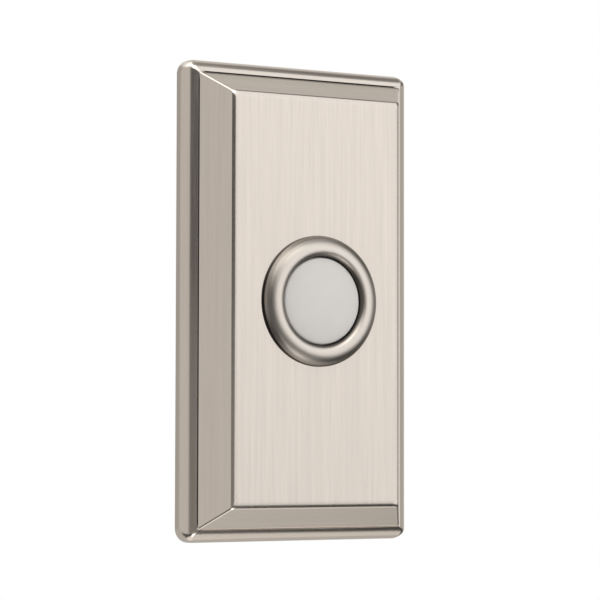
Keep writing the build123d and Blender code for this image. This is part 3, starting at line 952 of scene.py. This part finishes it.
def slotted_screw_mesh(sizes):
    """One slotted screw on the Y axis, its head's seat where the CAD screws have it."""
    steps = 64
    seat = screws_high.y - sizes.head_height
    half_slot = sizes.slot_width / 2
    bm = bmesh.new()
    section = [(sizes.shank, -screws_low.y), (sizes.shank, -seat), (sizes.head, -seat)]
    round_at = (sizes.head - sizes.head_round, -screws_high.y + sizes.head_round)
    section += arc_points(*round_at, sizes.head_round, 0.0, -90.0, steps=8)
    loops = [circle_loop(bm, radius, height, steps) for radius, height in section]
    for lower, upper in zip(loops, loops[1:]):
        join_loops(bm, lower, upper)
    bm.faces.new(loops[0])
    bm.faces.new(loops[-1])
    for side in (-1, 1):
        cut(bm, (side * half_slot, 0.0, 0.0), (1, 0, 0))
    slot_floor = screws_high.y - sizes.slot_depth
    cut(bm, (0.0, slot_floor, 0.0), (0, 1, 0))
    removed = []
    for face in bm.faces:
        middle = face.calc_center_median()
        if abs(middle.x) < half_slot and middle.y > slot_floor:
            removed.append(face)
    bmesh.ops.delete(bm, geom=removed, context="FACES")
    rims = [edge for edge in bm.edges if edge.is_boundary]
    bmesh.ops.holes_fill(bm, edges=rims, sides=0)
    return finished_mesh(bm, "slotted_screw")


class DOORBELL_OT_terminals(bpy.types.Operator):
    """Set the pair of slotted wire screws in the back"""

    bl_idname = "doorbell.terminals"
    bl_label = "Terminal screws"

    def execute(self, context):
        sizes = context.scene.doorbell_terminals
        brass = speckled(context.scene.doorbell_finishes, "screw_brass")
        pair = mesh_from_tree("screw_pair", slotted_screw_mesh(sizes), pair_tree(), {
            "Spacing": sizes.spacing,
        }, brass)
        new_piece("wire_screws", pair, "plate", "contact_brass", "terminal_screws")
        return {"FINISHED"}


class DOORBELL_OT_fittings(bpy.types.Operator):
    """Give the nut, washers, bracket, base, contacts, lamp and leads their finishes"""

    bl_idname = "doorbell.fittings"
    bl_label = "Fittings"

    def execute(self, context):
        finishes = context.scene.doorbell_finishes
        zinc = speckled(finishes, "zinc_plate")
        brass = speckled(finishes, "strip_brass")
        board = speckled(finishes, "pressed_board")
        white = speckled(finishes, "moulded_white")
        tin = speckled(finishes, "tinned_copper")
        resin = clear_resin("lamp_resin", tuple(finishes.resin))
        finish_of = {
            "lock_washer": zinc, "ring_nut": zinc, "mounting_bracket": zinc,
            "contact_bridge": brass, "left_contact": brass, "right_contact": brass,
            "terminal_washers": brass, "terminal_base": board, "plunger": white,
            "led_leads": tin, "led_lamp": resin,
        }
        for node, material in finish_of.items():
            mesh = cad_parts[node].data
            mesh.materials.clear()
            mesh.materials.append(material)
        return {"FINISHED"}


# Stage
def towards(azimuth, elevation):
    """Direction from the object: azimuth in degrees to the left of the front, elevation upwards."""
    turn, lift = math.radians(azimuth), math.radians(elevation)
    return Vector((-math.sin(turn) * math.cos(lift), -math.cos(turn) * math.cos(lift), math.sin(lift)))


def spaced(low, high, border):
    """Angles from low to high: the ends, the soft border's inner edges and steps between them."""
    step = 6.0
    inner_low, inner_high = low + border, high - border
    count = max(1, math.ceil((inner_high - inner_low) / step))
    inner = [inner_low + (inner_high - inner_low) * index / count for index in range(count + 1)]
    return [low, *inner, high]


def mix_in_glow(tree, node, output, base, tint):
    """The base shader where a node's output is 0, and a plain glow where it is 1."""
    glow = add_node(tree, "ShaderNodeEmission", {"Color": (*tint, 1.0), "Strength": 1.0})
    mix = add_node(tree, "ShaderNodeMixShader")
    wire(
        tree,
        (node, output, mix, "Fac"), (base, "BSDF", mix, 1), (glow, "Emission", mix, 2),
        (mix, "Shader", tree.nodes["Material Output"], "Surface"),
    )


WHITE = (1.0, 1.0, 1.0)
WARM = (1.0, 0.97, 0.925)
# Reflection cards: name, turn ends, lift ends and border in degrees, level, distance in metres, tint.
# A nearer card covers a farther one.
CARDS = (
    ("face_card", (-62.0, -16.0), (-20.0, 26.0), 10.0, 1.12, 0.96, WHITE),
    ("left_card", (48.0, 142.0), (-32.0, 54.0), 8.0, 0.6, 0.95, WARM),
    ("left_back_card", (128.0, 192.0), (-32.0, 38.0), 8.0, 0.42, 0.97, WARM),
    ("front_flag", (-9.0, 63.0), (-4.0, 22.0), 8.0, 0.06, 0.85, WARM),
    ("front_shade", (-6.0, 62.0), (-24.0, 6.0), 8.0, 0.24, 0.9, WARM),
    ("left_high_shade", (34.0, 76.0), (16.0, 46.0), 8.0, 0.4, 0.9, WARM),
    ("left_top_low", (-20.0, 48.0), (26.0, 64.0), 8.0, 3.2, 0.89, WARM),
    ("left_top_card", (28.0, 150.0), (50.0, 84.0), 8.0, 2.0, 0.9, WARM),
    ("left_mid_glow", (40.0, 140.0), (34.0, 62.0), 8.0, 1.7, 0.88, WARM),
    ("left_zenith_glow", (132.0, 206.0), (58.0, 84.0), 8.0, 1.3, 0.87, WARM),
    ("front_zenith", (-70.0, 60.0), (66.0, 89.0), 5.0, 0.45, 0.94, WARM),
    ("low_glow", (-24.0, 22.0), (-72.0, -38.0), 8.0, 2.8, 0.89, WARM),
    ("low_flag", (-70.0, -26.0), (-54.0, -17.0), 8.0, 0.04, 0.88, WARM),
    ("low_left_flag", (-34.0, 14.0), (-38.0, -12.0), 8.0, 0.08, 0.87, WARM),
    ("mitre_flag", (13.0, 130.0), (-67.0, -18.0), 9.0, 0.1, 0.92, WARM),
    ("under_card", (-10.0, 370.0), (-94.0, -52.0), 4.0, 0.92, 0.98, WARM),
    ("low_rim_card", (-116.0, -46.0), (-68.0, -48.0), 5.0, 0.7, 0.93, WARM),
    ("back_low_card", (100.0, 268.0), (-64.0, -4.0), 8.0, 0.515, 0.95, WARM),
    ("right_card", (-128.0, -54.0), (-18.0, 40.0), 10.0, 0.5, 0.95, WARM),
    ("right_low_flag", (-126.0, -56.0), (-52.0, -8.0), 10.0, 0.12, 0.9, WARM),
    ("right_high_flag", (-120.0, -62.0), (12.0, 52.0), 8.0, 0.16, 0.92, WARM),
    ("right_back_card", (176.0, 246.0), (-12.0, 40.0), 8.0, 0.8, 0.9, WARM),
    ("top_back_card", (176.0, 262.0), (34.0, 62.0), 6.0, 0.6, 0.9, WARM),
    ("top_gap", (234.0, 302.0), (50.0, 66.0), 6.0, 0.16, 0.85, WARM),
    ("overhead_card", (100.0, 300.0), (58.0, 88.0), 4.0, 0.4, 0.95, WARM),
)


def soft_card(name, turn, lift, border, level, distance, tint):
    """A curved card round the object that only reflections show, fading out along its border.

    turn and lift are its two ends in degrees, to the left of the front and upwards.
    """
    turns = spaced(*turn, border)
    lifts = spaced(*lift, border)
    points = []
    covers = []
    for row, elevation in enumerate(lifts):
        for column, azimuth in enumerate(turns):
            on_border = row in (0, len(lifts) - 1) or column in (0, len(turns) - 1)
            points.append(towards(azimuth, elevation) * distance)
            covers.append(0.0 if on_border else 1.0)
    width = len(turns)
    faces = []
    for row in range(len(lifts) - 1):
        for column in range(width - 1):
            first = row * width + column
            faces.append((first, first + 1, first + width + 1, first + width))
    mesh = bpy.data.meshes.new(name)
    mesh.from_pydata(points, [], faces)
    mesh.attributes.new("cover", "FLOAT", "POINT").data.foreach_set("value", covers)
    material = bpy.data.materials.new(name)
    material.use_nodes = True
    tree = material.node_tree
    tree.nodes.remove(tree.nodes["Principled BSDF"])
    clear = add_node(tree, "ShaderNodeBsdfTransparent")
    cover = add_node(tree, "ShaderNodeAttribute", attribute_name="cover")
    mix_in_glow(tree, cover, "Fac", clear, [share * level for share in tint])
    mesh.materials.append(material)
    card = add_object(name, mesh)
    card.visible_camera = False
    card.visible_diffuse = False
    card.visible_shadow = False


def white_world(backdrop, fill):
    """White for the camera and in reflections, and a softer fill for matte surfaces."""
    world = bpy.data.worlds.new("studio_white")
    world.use_nodes = True
    tree = world.node_tree
    background = tree.nodes["Background"]
    set_inputs(background, {"Color": (*WHITE, 1.0)})
    path = add_node(tree, "ShaderNodeLightPath")
    seen = add_node(tree, "ShaderNodeMath", operation="MAXIMUM")
    shown = add_node(tree, "ShaderNodeMath", operation="MAXIMUM")
    level = add_node(tree, "ShaderNodeMapRange", {"To Min": fill, "To Max": backdrop})
    wire(
        tree,
        (path, "Is Camera Ray", seen, 0), (path, "Is Glossy Ray", seen, 1), (seen, "Value", shown, 0),
        (path, "Is Transmission Ray", shown, 1), (shown, "Value", level, "Value"),
        (level, "Result", background, "Strength"),
    )
    bpy.context.scene.world = world


def pale_floor():
    """A pale floor well below the object, which the camera sees as white as the backdrop."""
    z = -1.1
    reach = 6.0
    pale = (0.86, 0.855, 0.845)
    mesh = bpy.data.meshes.new("pale_floor")
    corners = [(-reach, -reach, z), (reach, -reach, z), (reach, reach, z), (-reach, reach, z)]
    mesh.from_pydata(corners, [], [(0, 1, 2, 3)])
    material, tree, shader = new_material("pale_floor", pale, roughness=0.8)
    grain = object_noise(tree, (60.0, 60.0, 60.0), detail=4.0, roughness=0.6)
    shade_colour(tree, shader, pale, grain, low=0.98, high=1.02)
    path = add_node(tree, "ShaderNodeLightPath")
    mix_in_glow(tree, path, "Is Camera Ray", shader, WHITE)
    mesh.materials.append(material)
    floor = add_object("pale_floor", mesh)


def soft_box(name, azimuth, elevation, distance, side, level):
    """An area lamp turned to the object, whose face has the given level."""
    lamp = bpy.data.lights.new(name, "AREA")
    lamp.shape = "SQUARE"
    lamp.size = side
    lamp.energy = level * math.pi * side * side
    box = add_object(name, lamp)
    out = towards(azimuth, elevation)
    box.location = out * distance
    box.rotation_euler = out.to_track_quat("Z", "Y").to_euler()
    box.visible_glossy = False


def photo_camera(stage):
    """The camera at the photograph's viewing angle."""
    sensor_width = 36.0
    picture_width = 600.0
    nearest = 0.01
    az, el, roll = stage.azimuth, stage.elevation, stage.roll
    back = Vector((math.sin(az) * math.cos(el), -math.cos(az) * math.cos(el), math.sin(el)))
    right = (-back).cross(Vector((0, 0, 1))).normalized()
    up = right.cross(-back)
    turned_right = math.cos(roll) * right + math.sin(roll) * up
    turned_up = math.cos(roll) * up - math.sin(roll) * right
    lens = bpy.data.cameras.new("photo_camera")
    lens.sensor_fit = "HORIZONTAL"
    lens.sensor_width = sensor_width
    lens.lens = stage.focal * sensor_width / picture_width
    lens.clip_start = nearest
    camera = add_object("photo_camera", lens)
    eye = Vector(stage.aim) + back * stage.distance
    turn = Matrix((turned_right, turned_up, back)).transposed().to_4x4()
    camera.matrix_world = Matrix.Translation(eye) @ turn
    bpy.context.scene.camera = camera


class DOORBELL_OT_stage(bpy.types.Operator):
    """Set up the white world, the floor, the reflection cards, the soft box and the camera"""

    bl_idname = "doorbell.stage"
    bl_label = "Stage"

    def execute(self, context):
        stage = context.scene.doorbell_stage
        context.scene.view_settings.view_transform = "Standard"
        white_world(stage.backdrop, stage.fill)
        pale_floor()
        for card in CARDS:
            soft_card(*card)
        soft_box("key_box", azimuth=-30.0, elevation=40.0, distance=0.9, side=0.6, level=stage.key)
        photo_camera(stage)
        return {"FINISHED"}


class DOORBELL_PT_sidebar(bpy.types.Panel):
    """Sizes, finishes and the operators that build the pieces"""

    bl_idname = "DOORBELL_PT_sidebar"
    bl_label = "Doorbell push button"
    bl_space_type = "VIEW_3D"
    bl_region_type = "UI"
    bl_category = "Doorbell"

    def draw(self, context):
        for group_name, group in settings_groups.items():
            box = self.layout.box()
            box.label(text=group.__doc__)
            for name in group.__annotations__:
                box.prop(getattr(context.scene, group_name), name)
        for operator in operators:
            self.layout.operator(operator.bl_idname)


operators = (
    DOORBELL_OT_stage,
    DOORBELL_OT_cover_plate,
    DOORBELL_OT_bezel,
    DOORBELL_OT_button,
    DOORBELL_OT_spring,
    DOORBELL_OT_terminals,
    DOORBELL_OT_fittings,
)


def register():
    """Register the settings, the operators and the panel."""
    for group_name, group in settings_groups.items():
        bpy.utils.register_class(group)
        setattr(bpy.types.Scene, group_name, bpy.props.PointerProperty(type=group))
    for operator in operators:
        bpy.utils.register_class(operator)
    bpy.utils.register_class(DOORBELL_PT_sidebar)


def unregister():
    """Undo register, in reverse order."""
    bpy.utils.unregister_class(DOORBELL_PT_sidebar)
    for operator in reversed(operators):
        bpy.utils.unregister_class(operator)
    for group_name, group in reversed(settings_groups.items()):
        delattr(bpy.types.Scene, group_name)
        bpy.utils.unregister_class(group)


def main():
    """Build every piece."""
    register()
    bpy.ops.doorbell.stage()
    bpy.ops.doorbell.cover_plate()
    bpy.ops.doorbell.bezel()
    bpy.ops.doorbell.button()
    bpy.ops.doorbell.spring()
    bpy.ops.doorbell.terminals()
    bpy.ops.doorbell.fittings()


if __name__ == "__main__":
    main()
